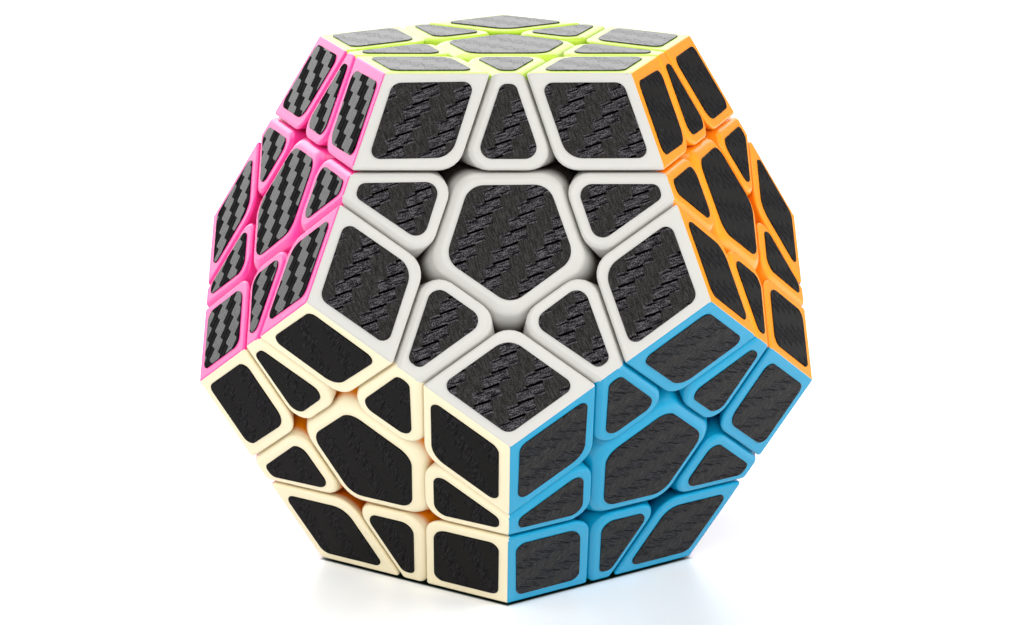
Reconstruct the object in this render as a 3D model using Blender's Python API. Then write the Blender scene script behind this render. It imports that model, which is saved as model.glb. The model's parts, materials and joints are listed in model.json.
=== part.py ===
"""Dodecahedron twisty puzzle, standing on one face.

Twelve face layers turn about the twelve face axes, which all cross at the puzzle's centre.
Each layer is parted from the rest by one turned cut surface about its axis: a flat cut near
the outside, a narrow cone around the stalks below it, and a wider cone around the feet.
A corner piece lies inside three cuts, an edge piece inside two and a centre piece inside one.
The feet of the corners hook under the edges, and the feet of the edges hook under the centres,
which screws hold to the core.
"""
import math
from itertools import combinations

import bmesh
import bpy
from mathutils import Matrix, Vector

MM = 0.001

# driving sizes
INRADIUS = 35.0 * MM            # centre of the puzzle to each outer face
CUT_DISTANCE = 0.661 * INRADIUS  # centre of the puzzle to the flat part of each cut
STALK_ANGLE = math.radians(43)  # half-angle of the cone around the stalks
FOOT_ANGLE = math.radians(50)   # half-angle of the cone around the feet
FOOT_TOP = 0.74 * INRADIUS      # radius of the ledge that the feet hook under
FOOT_BOTTOM = 0.56 * INRADIUS   # radius of the underside of the feet
SIDE_GAP = 0.30 * MM            # between neighbours, across a cut
LEDGE_GAP = 0.60 * MM           # between a foot and what it hooks under
NECK_INSET = 0.05 * MM          # an edge's neck stands back from its body and foot
ARC_STEPS = 4                   # straight lengths in each side of a section

# the hollow of a centre piece, along its axis
BORE_RADIUS = 1.8 * MM
WELL_RADIUS = 4.2 * MM
WELL_FLOOR = 24.0 * MM
WELL_TOP = 32.0 * MM

# the core
BALL_RADIUS = 11.0 * MM
POST_RADIUS = 3.4 * MM
POST_ROOT = 5.0 * MM
POST_TOP = 18.6 * MM
JOINED_POST_TOP = 21.0 * MM     # reaches into the floor of the joined centre
SHANK_RADIUS = 1.3 * MM
HEAD_RADIUS = 3.0 * MM
HEAD_BASE = 28.0 * MM
HEAD_TOP = 30.0 * MM
TURNED_STEPS = 12
DOWEL_RADIUS = 1.2 * MM         # joins a hidden edge to its centre
DOWEL_LENGTH = 3.0 * MM
DOWEL_DEPTH = 2.7 * MM          # its middle, under the centre's outer face
SMOOTH_ANGLE = math.radians(25)

SIDE_START = CUT_DISTANCE / math.cos(STALK_ANGLE)  # where the flat cut meets the stalk cone
LEDGE_UPPER = FOOT_TOP + LEDGE_GAP / 2
LEDGE_LOWER = FOOT_TOP - LEDGE_GAP / 2
MIDDLE = Vector((0.0, 0.0, INRADIUS))
TILT = math.atan(2.0)           # between neighbouring face normals

# face colour: heading of its normal in the upper or lower ring
UPPER_RING = {"grey": -90, "orange": -18, "yellow": 54, "blue": 126, "pink": 198}
LOWER_RING = {"sky": -54, "purple": 18, "white": 90, "red": 162, "cream": 234}
COLOURS = {
    "lime": (0.78, 0.97, 0.20),
    "green": (0.02, 0.22, 0.07),
    "grey": (0.76, 0.73, 0.69),
    "orange": (1.00, 0.33, 0.03),
    "yellow": (0.95, 0.75, 0.04),
    "blue": (0.02, 0.08, 0.42),
    "pink": (0.98, 0.15, 0.52),
    "sky": (0.03, 0.35, 0.68),
    "purple": (0.20, 0.04, 0.42),
    "white": (0.85, 0.85, 0.85),
    "red": (0.70, 0.02, 0.03),
    "cream": (0.97, 0.86, 0.57),
}
JOINED_EDGES = (("white", "green"), ("red", "green"))
BASE_FACE = "green"


def ring_normal(heading, slope):
    turn = math.radians(heading)
    return Vector((math.sin(TILT) * math.cos(turn), math.sin(TILT) * math.sin(turn),
                   slope * math.cos(TILT)))


NORMALS = {"lime": Vector((0, 0, 1)), "green": Vector((0, 0, -1))}
NORMALS.update({name: ring_normal(heading, 1) for name, heading in UPPER_RING.items()})
NORMALS.update({name: ring_normal(heading, -1) for name, heading in LOWER_RING.items()})


def adjacent(name, other):
    return name != other and NORMALS[name].angle(NORMALS[other]) < TILT + 0.01


def middle_direction(faces):
    return sum((NORMALS[name] for name in faces), Vector()).normalized()


def meeting_point(planes):
    """The point that lies on three planes, each given as (normal, distance)."""
    rows = Matrix([normal for normal, _ in planes])
    return rows.inverted() @ Vector([distance for _, distance in planes])


def crossing(side, other, toward):
    """Direction where two cones (normal, half-angle) cross, on the same side as toward."""
    (normal_a, angle_a), (normal_b, angle_b) = side, other
    lean = normal_a.dot(normal_b)
    share_a = (math.cos(angle_a) - lean * math.cos(angle_b)) / (1 - lean * lean)
    share_b = (math.cos(angle_b) - lean * math.cos(angle_a)) / (1 - lean * lean)
    flat = share_a * normal_a + share_b * normal_b
    across = normal_a.cross(normal_b)
    rise = math.sqrt((1 - flat.length_squared) / across.length_squared)
    return flat + math.copysign(rise, across.dot(toward)) * across


class Piece:
    """The shape of one puzzle piece, from the faces it shows."""

    def __init__(self, faces):
        self.faces = tuple(faces)
        self.toward = middle_direction(faces)
        around = self.toward.orthogonal().normalized()
        beside = self.toward.cross(around)
        ends = [name for name in NORMALS if name not in faces
                and all(adjacent(name, face) for face in faces)]
        sides = [(name, True) for name in faces] + [(name, False) for name in ends]
        if len(faces) == 1:
            sides = sides[1:]

        def heading(side):
            out = NORMALS[side[0]] * (-1 if side[1] else 1)
            return math.atan2(out.dot(beside), out.dot(around))

        self.sides = sorted(sides, key=heading)

    def flat_cut(self, side):
        name, inside = side
        return NORMALS[name], CUT_DISTANCE + (SIDE_GAP / 2 if inside else -SIDE_GAP / 2)

    def cone(self, side, radius, inner_angle, outer_angle, inset):
        name, inside = side
        angle = inner_angle if inside else outer_angle
        shift = (SIDE_GAP / 2 + inset) / radius
        return NORMALS[name], angle - shift if inside else angle + shift

    def corner_face(self, index):
        """The shown face that carries the outline's corner after a side."""
        near = {self.sides[index][0], self.sides[(index + 1) % len(self.sides)][0]}
        return next(name for name in self.faces if name not in near)

    def outline(self):
        """The edge of the piece on its shown faces, and the face of each length of it."""
        points, faces = [], []
        for index, side in enumerate(self.sides):
            before, after = self.corner_face(index - 1), self.corner_face(index)
            cut = self.flat_cut(side)
            start = meeting_point((self.flat_cut(self.sides[index - 1]), cut,
                                   (NORMALS[before], INRADIUS)))
            following = self.flat_cut(self.sides[(index + 1) % len(self.sides)])
            end = meeting_point((cut, following, (NORMALS[after], INRADIUS)))
            bend = (start + end) / 2
            if before != after:
                bend = meeting_point((cut, (NORMALS[before], INRADIUS), (NORMALS[after], INRADIUS)))
            half = ARC_STEPS // 2
            points += [start.lerp(bend, step / half) for step in range(half)]
            points += [bend.lerp(end, step / half) for step in range(half)]
            faces += [before] * half + [after] * half
        return points, faces

    def section(self, radius, inner_angle, outer_angle, inset=0.0):
        """The piece's edge on a sphere: arcs about each side's axis."""
        cones = [self.cone(side, radius, inner_angle, outer_angle, inset) for side in self.sides]
        return self.arcs(radius, cones)

    def first_section(self):
        """The section where the flat cuts end."""
        flats = [self.flat_cut(side) for side in self.sides]
        cones = [(normal, math.acos(distance / SIDE_START)) for normal, distance in flats]
        return self.arcs(SIDE_START, cones)

    def arcs(self, radius, cones):
        points = []
        for index, (normal, angle) in enumerate(cones):
            start = crossing(cones[index - 1], (normal, angle), self.toward)
            end = crossing((normal, angle), cones[(index + 1) % len(cones)], self.toward)
            across = start - normal * normal.dot(start)
            finish = end - normal * normal.dot(end)
            turn = math.copysign(across.angle(finish), across.cross(finish).dot(normal))
            for step in range(ARC_STEPS):
                spin = Matrix.Rotation(turn * step / ARC_STEPS, 3, normal)
                points.append(radius * (spin @ start))
        return points


def add_band(shape, upper, lower):
    """Quads from one loop of vertices down to the next."""
    count = len(upper)
    for index in range(count):
        following = (index + 1) % count
        shape.faces.new((upper[index], lower[index], lower[following], upper[following]))


def add_fan(shape, loop, tip):
    """Triangles from a loop, wound as its outward side sees it, to one point."""
    point = shape.verts.new(tip)
    for index, vertex in enumerate(loop):
        shape.faces.new((vertex, loop[(index + 1) % len(loop)], point))


def add_shown_faces(shape, piece, loop, faces):
    """Close the outline with one flat face for each colour."""
    if len(piece.faces) == 1:
        shape.faces.new(loop).material_index = 1
        return
    count = len(loop)
    bends = [index for index in range(count) if faces[index - 1] != faces[index]]
    apex = []
    if len(piece.faces) == 3:
        apex = [shape.verts.new(meeting_point([(NORMALS[name], INRADIUS) for name in piece.faces]))]
    for start, end in zip(bends, bends[1:] + [bends[0] + count]):
        run = [loop[index % count] for index in range(start, end + 1)]
        face = shape.faces.new(run + apex)
        face.material_index = 1 + piece.faces.index(faces[start])


def finished_mesh(shape, name):
    bmesh.ops.recalc_face_normals(shape, faces=shape.faces)
    mesh = bpy.data.meshes.new(name)
    shape.to_mesh(mesh)
    shape.free()
    return mesh


def loft(name, piece, sections, shown=False, top=None, bottom=None):
    """A solid through a stack of sections, from the outside inwards."""
    shape = bmesh.new()
    faces = None
    if shown:
        points, faces = piece.outline()
        sections = [points] + sections
    loops = [[shape.verts.new(point) for point in section] for section in sections]
    for upper, lower in zip(loops, loops[1:]):
        add_band(shape, upper, lower)
    if shown:
        add_shown_faces(shape, piece, loops[0], faces)
    else:
        add_fan(shape, loops[0], piece.toward * top)
    add_fan(shape, loops[-1][::-1], piece.toward * bottom)
    return finished_mesh(shape, name)


def corner_mesh(piece):
    sections = [
        piece.first_section(),
        piece.section(LEDGE_LOWER, STALK_ANGLE, STALK_ANGLE),
        piece.section(LEDGE_LOWER, FOOT_ANGLE, FOOT_ANGLE),
        piece.section(FOOT_BOTTOM, FOOT_ANGLE, FOOT_ANGLE),
    ]
    return loft("corner", piece, sections, shown=True, bottom=FOOT_BOTTOM)


def edge_mesh(piece):
    body = loft("edge_body", piece,
                [piece.first_section(), piece.section(LEDGE_UPPER, STALK_ANGLE, STALK_ANGLE)],
                shown=True, bottom=LEDGE_UPPER)
    overlap = LEDGE_GAP
    neck = loft("edge_neck", piece,
                [piece.section(radius, STALK_ANGLE, FOOT_ANGLE, NECK_INSET)
                 for radius in (LEDGE_UPPER + overlap, LEDGE_LOWER - overlap)],
                top=LEDGE_UPPER + overlap, bottom=LEDGE_LOWER - overlap)
    foot = loft("edge_foot", piece,
                [piece.section(radius, FOOT_ANGLE, FOOT_ANGLE)
                 for radius in (LEDGE_LOWER, FOOT_BOTTOM)],
                top=LEDGE_LOWER, bottom=FOOT_BOTTOM)
    return union("edge", [body, neck, foot])


def circle(axis, radius, height, like):
    """A ring of points about an axis, one for each point of another loop, at its heading."""
    points = []
    for point in like:
        out = point - axis * axis.dot(point)
        points.append(axis * height + out.normalized() * radius)
    return points


def centre_sections(piece):
    return [
        piece.first_section(),
        piece.section(LEDGE_UPPER, STALK_ANGLE, STALK_ANGLE),
        piece.section(LEDGE_UPPER, FOOT_ANGLE, FOOT_ANGLE),
        piece.section(FOOT_BOTTOM, FOOT_ANGLE, FOOT_ANGLE),
    ]


def centre_mesh(piece):
    """A centre, whose screw well opens through a bore in its underside."""
    sections = centre_sections(piece)
    foot = sections[-1]
    sections += [
        circle(piece.toward, BORE_RADIUS, FOOT_BOTTOM, foot),
        circle(piece.toward, BORE_RADIUS, WELL_FLOOR, foot),
        circle(piece.toward, WELL_RADIUS, WELL_FLOOR, foot),
        circle(piece.toward, WELL_RADIUS, WELL_TOP, foot),
    ]
    return loft("centre", piece, sections, shown=True, bottom=WELL_TOP)


def joined_centre_mesh(piece):
    """The base centre, solid because it is one with the core."""
    return loft("base_centre", piece, centre_sections(piece), shown=True, bottom=FOOT_BOTTOM)


def turned_mesh(name, axis, profile):
    """A solid of revolution about an axis through the middle, from (radius, height) pairs."""
    shape = bmesh.new()
    around = axis.orthogonal().normalized()
    ring = [Matrix.Rotation(2 * math.pi * step / TURNED_STEPS, 3, axis) @ around
            for step in range(TURNED_STEPS)]
    loops = [[shape.verts.new(axis * height + out * radius) for out in ring]
             for radius, height in profile]
    for lower, upper in zip(loops, loops[1:]):
        add_band(shape, upper, lower)
    shape.faces.new(loops[0][::-1])
    shape.faces.new(loops[-1])
    return finished_mesh(shape, name)


def post_mesh(name):
    """A core post, with the screw that holds the centre above it."""
    if name == BASE_FACE:
        return turned_mesh("post", NORMALS[name], [(POST_RADIUS, POST_ROOT),
                                                   (POST_RADIUS, JOINED_POST_TOP)])
    return turned_mesh("post", NORMALS[name], [
        (POST_RADIUS, POST_ROOT), (POST_RADIUS, POST_TOP),
        (SHANK_RADIUS, POST_TOP), (SHANK_RADIUS, HEAD_BASE),
        (HEAD_RADIUS, HEAD_BASE), (HEAD_RADIUS, HEAD_TOP)])


def ball_mesh():
    shape = bmesh.new()
    bmesh.ops.create_icosphere(shape, subdivisions=2, radius=BALL_RADIUS)
    return finished_mesh(shape, "ball")


def union(name, meshes):
    """One closed mesh from several that overlap."""
    objects = [bpy.data.objects.new(mesh.name, mesh) for mesh in meshes]
    for thing in objects:
        bpy.context.scene.collection.objects.link(thing)
    for other in objects[1:]:
        joint = objects[0].modifiers.new("join", "BOOLEAN")
        joint.operation = "UNION"
        joint.solver = "EXACT"
        joint.object = other
    bpy.context.view_layer.update()
    whole = objects[0].evaluated_get(bpy.context.evaluated_depsgraph_get())
    mesh = bpy.data.meshes.new_from_object(whole)
    mesh.name = name
    for thing in objects:
        bpy.data.objects.remove(thing)
    return mesh


def turned_to(piece, pattern):
    """The rotation that lays the pattern piece on another of its kind, and their faces in step."""
    def frame(shape, lead):
        across = lead - shape.toward * lead.dot(shape.toward)
        if across.length < 1e-6:
            across = NORMALS[shape.sides[0][0]]
            across = across - shape.toward * across.dot(shape.toward)
        across.normalize()
        return Matrix((shape.toward, across, shape.toward.cross(across))).transposed()

    start = frame(pattern, NORMALS[pattern.faces[0]])
    end = frame(piece, NORMALS[piece.faces[0]])
    turn = end @ start.transposed()
    shown = [max(piece.faces, key=lambda name: NORMALS[name].dot(turn @ NORMALS[old]))
             for old in pattern.faces]
    return turn, shown


def plastic(name, colour, roughness):
    material = bpy.data.materials.new(name)
    material.use_nodes = True
    shader = material.node_tree.nodes["Principled BSDF"]
    shader.inputs["Base Color"].default_value = (*colour, 1.0)
    shader.inputs["Roughness"].default_value = roughness
    shader.inputs["Metallic"].default_value = 0.0
    material.diffuse_color = (*colour, 1.0)
    return material


def place(name, mesh, turn, materials):
    """A piece whose origin is the point where all the turning axes cross."""
    mesh.shade_smooth()
    mesh.set_sharp_from_angle(angle=SMOOTH_ANGLE)
    thing = bpy.data.objects.new(name, mesh)
    bpy.context.scene.collection.objects.link(thing)
    thing.location = MIDDLE
    thing.rotation_mode = "QUATERNION"
    thing.rotation_quaternion = turn.to_quaternion()
    while len(mesh.materials) < len(materials):
        mesh.materials.append(None)
    for slot, material in zip(thing.material_slots, materials):
        slot.link = "OBJECT"
        slot.material = material
    return thing


def turned_copy(mesh, turn):
    copy = mesh.copy()
    copy.transform(turn.to_4x4())
    return copy


def dowel_mesh(centre, end):
    """A short pin across the cut between a centre and the edge beside it."""
    axis = NORMALS[end]
    middle = middle_direction((centre, end))
    spot = meeting_point(((axis, CUT_DISTANCE), (NORMALS[centre], INRADIUS - DOWEL_DEPTH),
                          (middle.cross(axis).normalized(), 0.0)))
    mesh = turned_mesh("dowel", axis, [(DOWEL_RADIUS, -DOWEL_LENGTH / 2),
                                       (DOWEL_RADIUS, DOWEL_LENGTH / 2)])
    mesh.transform(Matrix.Translation(spot))
    return mesh


def build():
    for thing in list(bpy.data.objects):
        bpy.data.objects.remove(thing)
    shells = {name: plastic(name + "_plastic", colour, 0.3) for name, colour in COLOURS.items()}
    inner = plastic("inner_plastic", (0.02, 0.02, 0.025), 0.5)
    level = Matrix.Identity(3)

    centres = [Piece((name,)) for name in NORMALS]
    edges = [Piece(pair) for pair in combinations(NORMALS, 2) if adjacent(*pair)]
    corners = [Piece(trio) for trio in combinations(NORMALS, 3)
               if all(adjacent(*pair) for pair in combinations(trio, 2))]
    patterns = (("centre", centres, centre_mesh), ("edge", edges, edge_mesh),
                ("corner", corners, corner_mesh))
    shapes = {}
    for kind, pieces, make in patterns:
        mesh = make(pieces[0])
        for piece in pieces:
            turn, shown = turned_to(piece, pieces[0])
            shapes[frozenset(piece.faces)] = (kind, piece, mesh, turn, shown)

    joined = {frozenset(pair) for pair in JOINED_EDGES}
    joined |= {frozenset((pair[0],)) for pair in JOINED_EDGES} | {frozenset((BASE_FACE,))}
    for key, (kind, piece, mesh, turn, shown) in shapes.items():
        if key not in joined:
            materials = [inner] + [shells[name] for name in shown]
            place("_".join((kind,) + piece.faces), mesh, turn, materials)

    for centre, end in JOINED_EDGES:
        parts = [turned_copy(shapes[frozenset(key)][2], shapes[frozenset(key)][3])
                 for key in ((centre,), (centre, end))]
        whole = union("centre_and_edge", parts + [dowel_mesh(centre, end)])
        place(f"centre_and_edge_{centre}_{end}", whole, level, [inner, shells[centre], shells[end]])

    posts = [post_mesh(name) for name in NORMALS]
    core = union("core", [ball_mesh()] + posts + [joined_centre_mesh(Piece((BASE_FACE,)))])
    place("core", core, level, [inner, shells[BASE_FACE]])


build()
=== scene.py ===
"""Looks of the dodecahedron twisty puzzle: coloured plastic pieces with carbon-weave stickers.

Each puzzle piece is lofted again around the same cut planes and cones as its CAD solid, with
rounded corners and filleted rims, and carries one sticker on each face that it shows.
"""

import json
import math
import random
from collections import namedtuple
from itertools import combinations

import bmesh
import bpy
from mathutils import Matrix, Vector

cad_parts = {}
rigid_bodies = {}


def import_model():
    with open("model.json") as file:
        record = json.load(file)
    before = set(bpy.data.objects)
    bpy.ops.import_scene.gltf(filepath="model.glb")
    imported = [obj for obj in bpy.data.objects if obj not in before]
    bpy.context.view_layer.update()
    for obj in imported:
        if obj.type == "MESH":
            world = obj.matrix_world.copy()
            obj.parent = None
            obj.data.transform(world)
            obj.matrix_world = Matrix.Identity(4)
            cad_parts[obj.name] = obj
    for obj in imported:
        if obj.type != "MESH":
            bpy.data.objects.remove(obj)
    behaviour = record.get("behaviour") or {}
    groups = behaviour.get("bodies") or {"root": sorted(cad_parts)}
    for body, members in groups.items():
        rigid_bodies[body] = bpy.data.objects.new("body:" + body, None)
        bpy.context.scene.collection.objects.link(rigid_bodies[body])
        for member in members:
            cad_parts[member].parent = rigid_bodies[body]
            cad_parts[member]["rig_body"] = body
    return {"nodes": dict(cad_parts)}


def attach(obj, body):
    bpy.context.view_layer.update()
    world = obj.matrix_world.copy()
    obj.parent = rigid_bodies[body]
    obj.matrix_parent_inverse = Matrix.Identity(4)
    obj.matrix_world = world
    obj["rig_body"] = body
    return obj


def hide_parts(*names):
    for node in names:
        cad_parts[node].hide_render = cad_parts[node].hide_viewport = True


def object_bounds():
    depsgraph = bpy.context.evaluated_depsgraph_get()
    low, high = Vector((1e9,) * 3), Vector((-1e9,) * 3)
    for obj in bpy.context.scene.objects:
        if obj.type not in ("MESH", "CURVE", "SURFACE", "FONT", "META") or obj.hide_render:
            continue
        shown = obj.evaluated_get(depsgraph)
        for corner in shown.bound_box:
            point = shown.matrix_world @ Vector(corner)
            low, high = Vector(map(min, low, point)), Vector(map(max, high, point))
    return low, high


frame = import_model()
CAD_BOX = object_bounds()

MM = 0.001
INRADIUS = (CAD_BOX[1].z - CAD_BOX[0].z) / 2
MIDDLE = Vector((0.0, 0.0, CAD_BOX[0].z + INRADIUS))
TILT = math.atan(2.0)               # between neighbouring face normals

# cuts, as in the CAD
CUT_DISTANCE = 0.661 * INRADIUS
STALK_ANGLE = math.radians(43)
FOOT_ANGLE = math.radians(50)
FOOT_TOP = 0.74 * INRADIUS
FOOT_BOTTOM = 0.56 * INRADIUS
SIDE_GAP = 0.30 * MM
LEDGE_GAP = 0.60 * MM
NECK_INSET = 0.05 * MM
SIDE_START = CUT_DISTANCE / math.cos(STALK_ANGLE)
LEDGE_UPPER = FOOT_TOP + LEDGE_GAP / 2
LEDGE_LOWER = FOOT_TOP - LEDGE_GAP / 2

# inside a centre
BORE_RADIUS = 1.8 * MM
WELL_RADIUS = 4.2 * MM
WELL_FLOOR = 24.0 * MM
WELL_TOP = 32.0 * MM

# rounding of the visible pieces
STICKER_THICKNESS = 0.15 * MM
STICKER_EDGE = 0.05 * MM
STICKER_SINK = 0.03 * MM
FACELET = INRADIUS - STICKER_THICKNESS
SIDE_STEPS = 6
CORNER_STEPS = 6
RIM_FILLET = {1: 0.95 * MM, 2: 0.62 * MM, 3: 0.66 * MM}
RIDGE_FILLET = 0.28 * MM
FILLET_STEPS = 5
RIM_ROUNDING = {1: 3.4 * MM, 2: 2.7 * MM, 3: 3.4 * MM}
STALK_ROUNDING = {1: 1.9 * MM, 2: 2.2 * MM, 3: 2.9 * MM}
FOOT_ROUNDING = 0.8 * MM
SMOOTH_ANGLE = math.radians(40)

# stickers: borders from the cut and ridge edges, and corner radii by what meets there
CUT_BORDER = {1: 1.36 * MM, 2: 1.2 * MM, 3: 1.65 * MM}
INNER_BORDER = 1.6 * MM             # of an edge's sticker, towards the centre
RIDGE_BORDER = {2: 1.5 * MM, 3: 1.35 * MM}
STICKER_RADII = {
    (1, "cut", "cut"): 2.6 * MM,
    (2, "cut", "cut"): 1.5 * MM,
    (2, "cut", "ridge"): 1.0 * MM,
    (3, "ridge", "ridge"): 1.5 * MM,
    (3, "cut", "ridge"): 1.1 * MM,
    (3, "cut", "cut"): 2.8 * MM,
}
STICKER_SHIFT = 0.15 * MM
STICKER_TURN = math.radians(1.0)
ROUND_STEPS = 8

COLUMN_PITCH = 1.72                 # mm between two columns of the weave
ROW_PITCH = 1.57                    # and between two rows

# heading of each face in the upper and the lower ring, in degrees
UPPER_RING = {"grey": -90, "orange": -18, "yellow": 54, "blue": 126, "pink": 198}
LOWER_RING = {"sky": -54, "purple": 18, "white": 90, "red": 162, "cream": 234}
# each face: the neighbour that its weave angle is measured from, and the angle in degrees
WEAVE = {
    "lime": ("pink", -15), "green": ("sky", 30), "grey": ("lime", 20), "orange": ("lime", -60),
    "yellow": ("lime", 35), "blue": ("lime", -25), "pink": ("lime", 90), "sky": ("grey", -55),
    "purple": ("orange", 15), "white": ("yellow", -40), "red": ("blue", 60),
    "cream": ("grey", -90),
}
# the same carbon film, shaded for each group of faces: roughness of its rows and columns,
# display shade of their lightest fibres, painted light and shade for how light falls on those
# faces, how black the grooves are, how deep the relief is, how much the film shines, and how
# far the dark streaks of its rows take that shine away
Film = namedtuple("Film", "row_rough column_rough row_light column_light blackness relief shine"
                          " ribs")
FILMS = {
    "carbon_vinyl": Film(0.45, 0.42, 89, 54, 1.0, 1.0, 0.15, 0.1),
    "carbon_vinyl_split": Film(0.95, 0.24, 28, 34, 0.9, 0.9, 0.17, 0.0),
    "carbon_vinyl_shaded_dark": Film(0.6, 0.5, 38, 14, 0.3, 1.1, 0.06, 0.15),
    "carbon_vinyl_ribbed": Film(0.6, 0.5, 44, 36, 0.5, 1.6, 0.11, 0.4),
    "carbon_vinyl_plain": Film(0.5, 0.5, 50, 56, 0.5, 0.9, 0.15, 0.2),
    "carbon_vinyl_lit_pale": Film(0.32, 0.3, 60, 60, 0.3, 1.0, 0.34, 0.6),
}
# the shaded copy of the film on each face, chosen by how light falls on that face
FILM_OF = {
    "grey": "carbon_vinyl", "yellow": "carbon_vinyl", "white": "carbon_vinyl",
    "pink": "carbon_vinyl_split", "blue": "carbon_vinyl_split", "red": "carbon_vinyl_split",
    "cream": "carbon_vinyl_shaded_dark", "orange": "carbon_vinyl_ribbed",
    "sky": "carbon_vinyl_plain", "purple": "carbon_vinyl_plain",
    "lime": "carbon_vinyl_lit_pale", "green": "carbon_vinyl_lit_pale",
}

# display colour of each plastic on its faces, and the painted shade deep in the gaps between
# pieces, darkened and tinted like light bounced between them
PLASTICS = {
    "lime": ((190, 218, 70), (255, 248, 0)),
    "green": ((4, 74, 40), (2, 34, 16)),
    "grey": ((195, 193, 187), (74, 67, 60)),
    "orange": ((255, 156, 26), (236, 88, 0)),
    "yellow": ((252, 222, 30), (214, 150, 0)),
    "blue": ((30, 70, 180), (6, 16, 80)),
    "pink": ((240, 56, 150), (236, 0, 108)),
    "sky": ((6, 146, 186), (0, 62, 124)),
    "purple": ((118, 50, 160), (44, 8, 84)),
    "white": ((240, 240, 240), (120, 120, 124)),
    "red": ((214, 26, 30), (110, 0, 4)),
    "cream": ((234, 221, 186), (226, 132, 4)),
}
GAP_SHADE_TOP = 1.6                       # mm below the face where the painted gap shade begins
GAP_SHADE_FULL = 3.6                     # and where it is full
GAP_SHADE_REACH = {"cream": 0.55}         # share of those depths for a plastic whose painted gap shade begins sooner

# the core, and the screw, spring and washer in each centre
BALL_RADIUS = 11.0 * MM
POST_RADIUS = 3.4 * MM
POST_FOOT = 10.0 * MM
POST_TOP = 18.6 * MM
SHANK_RADIUS = 1.3 * MM
THREAD_PITCH = 0.5 * MM
HEAD_RADIUS = 3.0 * MM
HEAD_BASE = 28.0 * MM
HEAD_TOP = 30.0 * MM
RECESS_RADIUS = 0.5 * HEAD_RADIUS
RECESS_DEPTH = 0.9 * MM
SPRING_RADIUS = 2.9 * MM
SPRING_WIRE = 0.32 * MM
SPRING_TURNS = 4.5
WASHER_RADIUS = 3.6 * MM
WASHER_THICKNESS = 0.35 * MM
TURNED_STEPS = 32

# the stage, in metres
FLOOR_GAP = 0.12 * MM               # between the floor and the puzzle
FLOOR_SIZE = 8.0
SHEET_START = 0.6                   # from the middle, where the white sheet begins to darken
SHEET_END = 0.9
BASE_INRADIUS = 0.618 * INRADIUS    # of the face that the puzzle stands on
CAMERA_PLACE = Vector((-0.004865, -0.38535, 0.134015))
CAMERA_FORWARD = Vector((0.01447, 0.96704, -0.25422))
CAMERA_RIGHT = Vector((0.99989, -0.01438, 0.00223))
CAMERA_LENS = 101.95                # mm
# area lights: heading and elevation in degrees, distance, size, watts, and whether gloss shows it
LIGHTS = {
    "key": (120, 65, 0.9, 0.6, 3.2, True),
    "fill_left": (205, 30, 1.0, 0.6, 2.5, False),
    "fill_front": (-90, 10, 1.1, 0.8, 3.7, False),
    "fill_right": (-15, 25, 1.0, 0.6, 7.0, False),
}
# brightness of the room around the puzzle, and of its three bright patches
ROOM_DIM = 0.24
PATCH_BEHIND = 1.8
PATCH_LEFT = 1.7
PATCH_FRONT = 1.8


def ring_normal(heading, slope):
    """Outward direction of a ring's face: slope is 1 in the upper ring and -1 in the lower."""
    turn = math.radians(heading)
    return Vector((math.sin(TILT) * math.cos(turn), math.sin(TILT) * math.sin(turn),
                   slope * math.cos(TILT)))


NORMALS = {"lime": Vector((0, 0, 1)), "green": Vector((0, 0, -1))}
NORMALS.update({name: ring_normal(heading, 1) for name, heading in UPPER_RING.items()})
NORMALS.update({name: ring_normal(heading, -1) for name, heading in LOWER_RING.items()})


# ---------------------------------------------------------------- shapes of the pieces

def adjacent(name, other):
    return name != other and NORMALS[name].angle(NORMALS[other]) < TILT + 0.01


def middle_direction(faces):
    return sum((NORMALS[name] for name in faces), Vector()).normalized()


def meeting_point(planes):
    """The point that lies on three planes, each given as (normal, distance)."""
    rows = Matrix([normal for normal, _ in planes])
    return rows.inverted() @ Vector([distance for _, distance in planes])


def crossing(side, other, toward):
    """Direction where two cones (normal, half-angle) cross, on the same side as toward."""
    (normal_a, angle_a), (normal_b, angle_b) = side, other
    lean = normal_a.dot(normal_b)
    share_a = (math.cos(angle_a) - lean * math.cos(angle_b)) / (1 - lean * lean)
    share_b = (math.cos(angle_b) - lean * math.cos(angle_a)) / (1 - lean * lean)
    flat = share_a * normal_a + share_b * normal_b
    across = normal_a.cross(normal_b)
    rise = math.sqrt((1 - flat.length_squared) / across.length_squared)
    return flat + math.copysign(rise, across.dot(toward)) * across


class Bent:
    """A path of two equal straight lengths."""

    def __init__(self, start, bend, end):
        self.start, self.bend, self.end = start, bend, end
        self.length = (bend - start).length + (end - bend).length

    def at(self, share):
        if share < 0.5:
            return self.start.lerp(self.bend, 2 * share)
        return self.bend.lerp(self.end, 2 * share - 1)


class Arc:
    """A path about an axis through the middle of the puzzle."""

    def __init__(self, start, end, normal):
        across = start - normal * normal.dot(start)
        finish = end - normal * normal.dot(end)
        self.start, self.normal = start, normal
        self.turn = math.copysign(across.angle(finish), across.cross(finish).dot(normal))
        self.length = across.length * abs(self.turn)

    def at(self, share):
        return Matrix.Rotation(self.turn * share, 3, self.normal) @ self.start


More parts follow.
